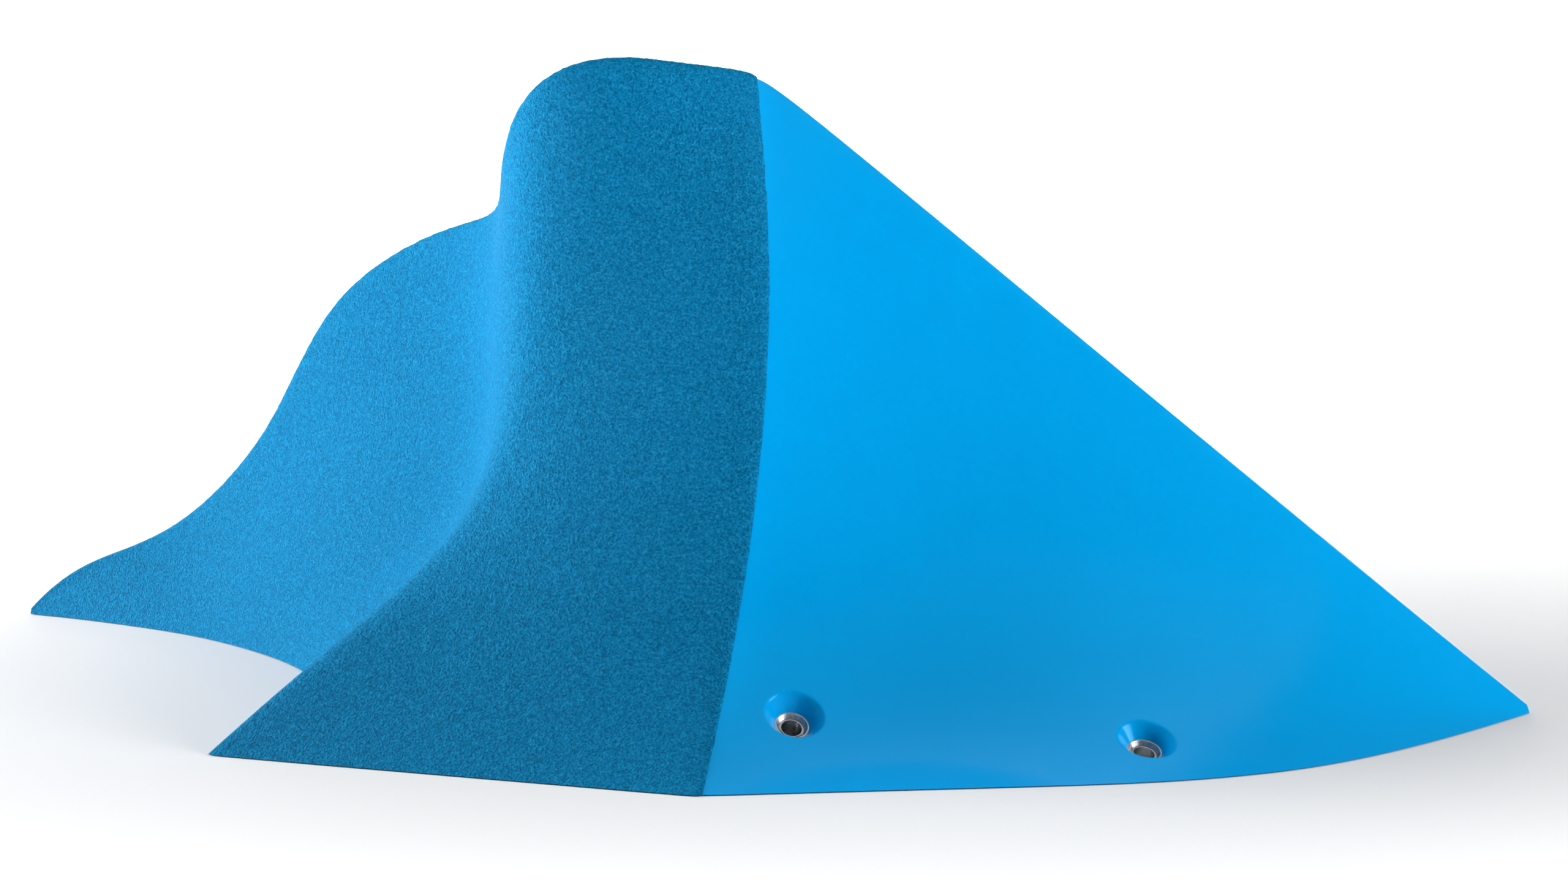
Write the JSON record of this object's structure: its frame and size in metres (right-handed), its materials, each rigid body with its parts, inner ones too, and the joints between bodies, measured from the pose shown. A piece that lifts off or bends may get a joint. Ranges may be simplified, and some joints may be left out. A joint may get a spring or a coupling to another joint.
{
  "type": "climbing wall volume",
  "caption": "Hollow wave-shaped climbing volume that screws to a climbing wall, half gritty and half gloss, with countersunk fixing pockets.",
  "frame": {"origin": "middle of the base outline's box, on the wall face", "axes": "+Z out of the wall, +X along the long straight ridge towards its tip, +Y towards the side not seen"},
  "size_m": [0.9998, 0.5714, 0.3837],
  "materials": {
    "gelcoat": "high gloss blue gelcoat",
    "grip_coat": "blue paint over sprayed sand, matt and gritty",
    "laminate": "bare glass fibre laminate, satin and uneven",
    "resin_pad": "cast filled resin, matt",
    "steel": "turned stainless steel",
    "screw_steel": "zinc plated steel",
    "plywood": "birch plywood, unvarnished"
  },
  "bodies": {
    "root": {"grip_coat": "grip_coat", "gelcoat_skin": "gelcoat", "grp_laminate": "laminate", "pocket_cup_front_left": "gelcoat", "fixing_pad_front_left": "resin_pad", "fixing_bush_front_left": "steel", "pocket_cup_front_right": "gelcoat", "fixing_pad_front_right": "resin_pad", "fixing_bush_front_right": "steel", "pocket_cup_back_right": "gelcoat", "fixing_pad_back_right": "resin_pad", "fixing_bush_back_right": "steel", "pocket_cup_back_middle": "gelcoat", "fixing_pad_back_middle": "resin_pad", "fixing_bush_back_middle": "steel", "pocket_cup_back_left": "gelcoat", "fixing_pad_back_left": "resin_pad", "fixing_bush_back_left": "steel", "rim_batten_front_left": "plywood", "rim_batten_front_right": "plywood", "rim_batten_right": "plywood", "rim_batten_back_right": "plywood", "rim_batten_back": "plywood", "rim_batten_back_left": "plywood", "rim_batten_bay_back": "plywood", "rim_batten_bay_front": "plywood", "cross_rib": "plywood", "ridge_rib": "plywood", "lobe_rib": "plywood", "rib_screws": "screw_steel"}
  },
  "joints": []
}
